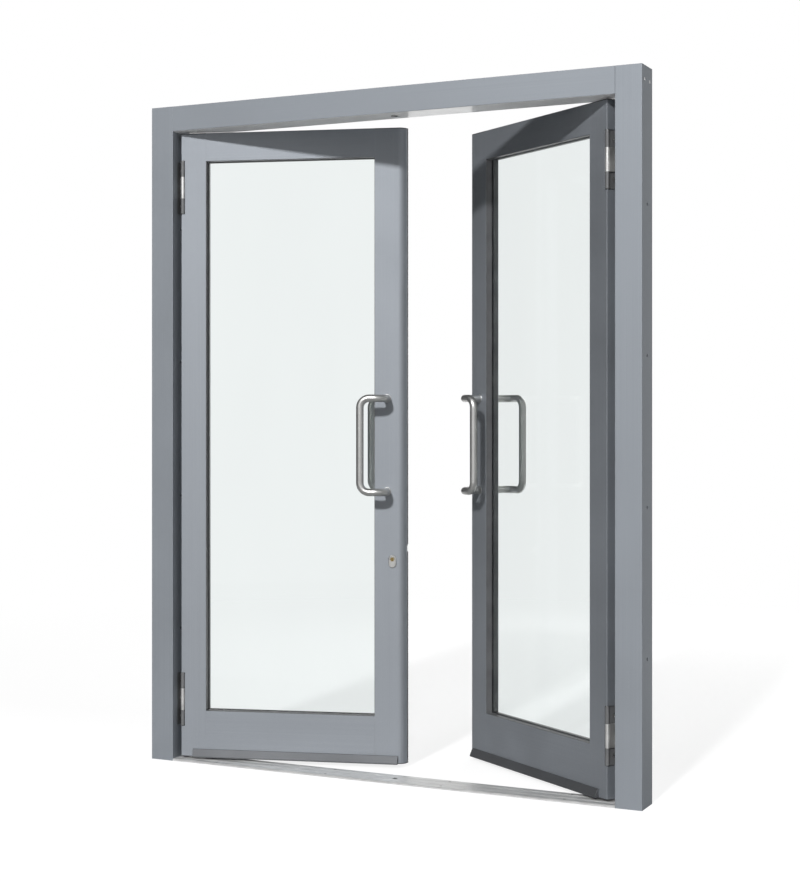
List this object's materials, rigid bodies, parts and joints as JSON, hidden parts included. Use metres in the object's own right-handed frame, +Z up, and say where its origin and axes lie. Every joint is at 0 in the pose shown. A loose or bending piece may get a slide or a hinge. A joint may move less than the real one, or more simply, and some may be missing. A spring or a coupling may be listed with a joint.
{
  "type": "double door with frame",
  "caption": "Glazed aluminium double door in its frame: double-acting barrel hinges, cranked bar pulls on both faces, a cylinder lock with deadbolt and flush bolts at the meeting stiles.",
  "frame": {"origin": "middle of the threshold's underside, on the floor, at half the frame's depth", "axes": "+X to the right seen from the front, +Y to the rear, +Z up"},
  "size_m": [1.68, 0.5218, 2.15],
  "materials": {
    "frame_finish": "grey satin coat",
    "leaf_finish": "grey satin coat",
    "threshold_aluminium": "mill finish",
    "cast_aluminium": "as cast",
    "cap_plastic": "moulded",
    "fastener_steel": "zinc plated",
    "hinge_dark": "dark satin",
    "hinge_light": "satin",
    "clear_glass": "clear",
    "gasket_rubber": "matte",
    "handle_steel": "satin",
    "drip_bar_finish": "grey satin coat",
    "seal_pile": "pile",
    "lock_steel": "plain",
    "bolt_steel": "satin",
    "plug_brass": "satin",
    "lock_nickel": "satin"
  },
  "bodies": {
    "frame": {"bolt_keeps": "bolt_steel", "frame_head": "frame_finish", "frame_left_jamb": "frame_finish", "frame_right_jamb": "frame_finish", "head_cleats": "cast_aluminium", "head_screws": "fastener_steel", "hinge_jamb_pins": "fastener_steel", "hinge_jamb_screws": "fastener_steel", "jamb_plugs": "cap_plastic", "left_hinge_jamb_flanges": "hinge_dark", "right_hinge_jamb_flanges": "hinge_dark", "threshold": "threshold_aluminium", "threshold_screws": "fastener_steel"},
    "left_links": {"left_hinge_links": "hinge_light"},
    "right_links": {"right_hinge_links": "hinge_light"},
    "lock_barrel": {"lock_plug": "plug_brass", "thumb_turn": "lock_nickel"},
    "deadbolt": {"deadbolt": "bolt_steel"},
    "top_flush_bolt": {"top_flush_bolt": "bolt_steel"},
    "bottom_flush_bolt": {"bottom_flush_bolt": "bolt_steel"},
    "left_leaf": {"cylinder_escutcheons": "lock_nickel", "left_bottom_brush": "seal_pile", "left_bottom_rail": "leaf_finish", "left_drip_bar": "drip_bar_finish", "left_front_pull_handle": "handle_steel", "left_glass_pane": "clear_glass", "left_glazing_beads": "leaf_finish", "left_glazing_gaskets": "gasket_rubber", "left_handle_studs": "fastener_steel", "left_hinge_leaf_flanges": "hinge_dark", "left_hinge_leaf_pins": "fastener_steel", "left_hinge_leaf_screws": "fastener_steel", "left_hinge_stile": "leaf_finish", "left_meeting_stile": "leaf_finish", "left_rear_pull_handle": "handle_steel", "left_setting_blocks": "gasket_rubber", "left_stile_caps": "cap_plastic", "left_top_rail": "leaf_finish", "lock_case": "lock_steel", "lock_cylinder": "lock_nickel", "meeting_seal": "seal_pile"},
    "right_leaf": {"bolt_guides": "lock_steel", "right_bottom_brush": "seal_pile", "right_bottom_rail": "leaf_finish", "right_drip_bar": "drip_bar_finish", "right_front_pull_handle": "handle_steel", "right_glass_pane": "clear_glass", "right_glazing_beads": "leaf_finish", "right_glazing_gaskets": "gasket_rubber", "right_handle_studs": "fastener_steel", "right_hinge_leaf_flanges": "hinge_dark", "right_hinge_leaf_pins": "fastener_steel", "right_hinge_leaf_screws": "fastener_steel", "right_hinge_stile": "leaf_finish", "right_meeting_stile": "leaf_finish", "right_rear_pull_handle": "handle_steel", "right_setting_blocks": "gasket_rubber", "right_stile_caps": "cap_plastic", "right_top_rail": "leaf_finish", "strike_box": "lock_steel"}
  },
  "joints": [
    {"name": "left_rear_swing", "type": "hinge", "parent": "frame", "child": "left_links", "pos_m": [-0.749, 0.022, 1], "axis": [0, 0, 1], "range_deg": [-15.5, 74.5]},
    {"name": "left_front_swing", "type": "hinge", "parent": "left_links", "child": "left_leaf", "pos_m": [-0.73724, -0.0204, 1], "axis": [0, 0, 1], "range_deg": [-90, 0]},
    {"name": "right_rear_swing", "type": "hinge", "parent": "frame", "child": "right_links", "pos_m": [0.749, 0.022, 1], "axis": [0, 0, -1], "range_deg": [-34.5, 55.5]},
    {"name": "right_front_swing", "type": "hinge", "parent": "right_links", "child": "right_leaf", "pos_m": [0.72408, -0.01426, 1], "axis": [0, 0, -1], "range_deg": [-90, 0]},
    {"name": "lock_turn", "type": "hinge", "parent": "left_leaf", "child": "lock_barrel", "pos_m": [-0.05896, 0.16252, 0.672], "axis": [0.2672, -0.9636, 0], "range_deg": [0, 92]},
    {"name": "deadbolt_slide", "type": "slide", "parent": "left_leaf", "child": "deadbolt", "axis": [0.9636, 0.2672, 0], "range_m": [0, 0.02]},
    {"name": "top_flush_bolt_slide", "type": "slide", "parent": "right_leaf", "child": "top_flush_bolt", "axis": [0, 0, 1], "range_m": [0, 0.018]},
    {"name": "bottom_flush_bolt_slide", "type": "slide", "parent": "right_leaf", "child": "bottom_flush_bolt", "axis": [0, 0, -1], "range_m": [0, 0.012]}
  ],
  "couplings": [
    {"joint": "lock_turn", "follows": "deadbolt_slide", "rad_per_m": 78.54}
  ]
}
